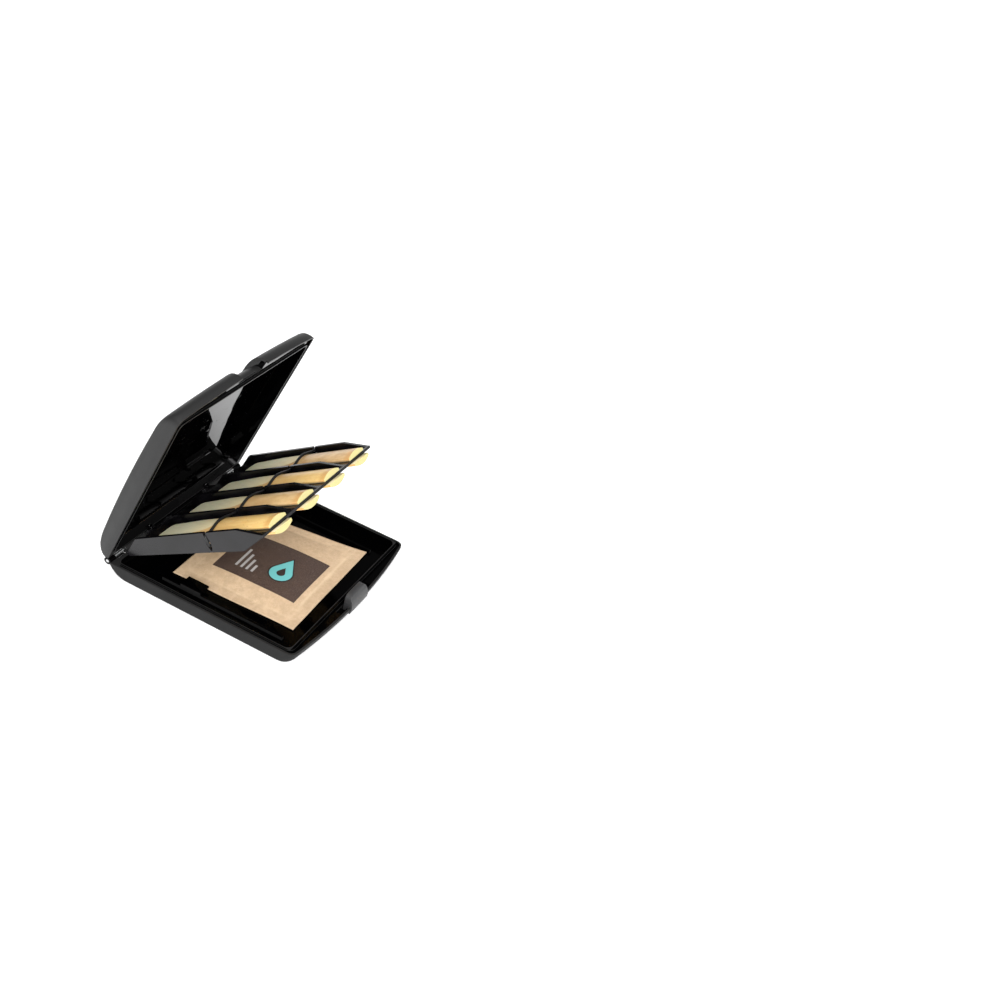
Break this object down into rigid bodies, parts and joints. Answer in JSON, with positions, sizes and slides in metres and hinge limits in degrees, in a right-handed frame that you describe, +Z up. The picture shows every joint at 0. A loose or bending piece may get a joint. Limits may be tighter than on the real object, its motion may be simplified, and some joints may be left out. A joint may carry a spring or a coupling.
{
  "type": "reed case",
  "caption": "Hinged flat case for woodwind reeds with a swing-up two-sided reed holder, a humidity pack in the tray and a thumb catch.",
  "frame": {"origin": "on the flat underside that the tray rests on, below the middle of the case's sides", "axes": "+X along the hinge line to the right as seen from the front, -Y towards the thumb catch, +Z up from the table"},
  "size_m": [0.095, 0.1062, 0.1019],
  "materials": {
    "shell": "soft matte grey-black outside, glossy black inside",
    "catch": "soft matte mid grey",
    "holder": "satin grey",
    "pin": "bright drawn steel",
    "cord": "round black elastic",
    "reed": "cane, with polished bark and a pale scraped vamp",
    "pack": "kraft paper pouch with a dark printed panel"
  },
  "bodies": {
    "tray": {"tray_shell": "shell", "hinge_pin": "pin", "humidity_pack": "pack"},
    "lid": {"lid_shell": "shell"},
    "holder": {"reed_holder": "holder", "elastic_cord": "cord", "upper_reed_1": "reed", "upper_reed_2": "reed", "upper_reed_3": "reed", "upper_reed_4": "reed", "lower_reed_1": "reed", "lower_reed_2": "reed", "lower_reed_3": "reed", "lower_reed_4": "reed"},
    "catch": {"thumb_catch": "catch"}
  },
  "joints": [
    {"name": "lid_hinge", "type": "hinge", "parent": "tray", "child": "lid", "pos_m": [0, 0.04895, 0.00705], "axis": [-1, 0, 0], "range_deg": [-67.8, 52.2]},
    {"name": "holder_hinge", "type": "hinge", "parent": "tray", "child": "holder", "pos_m": [0, 0.04895, 0.00705], "axis": [-1, 0, 0], "range_deg": [-32.1, 24.8]},
    {"name": "catch_rock", "type": "hinge", "parent": "tray", "child": "catch", "pos_m": [0, -0.05035, 0.0029], "axis": [1, 0, 0], "range_deg": [0, 6], "stiffness_Nm_per_rad": 0.05}
  ],
  "couplings": [
    {"joint": "holder_hinge", "follows": "lid_hinge", "ratio": 0.47345}
  ]
}
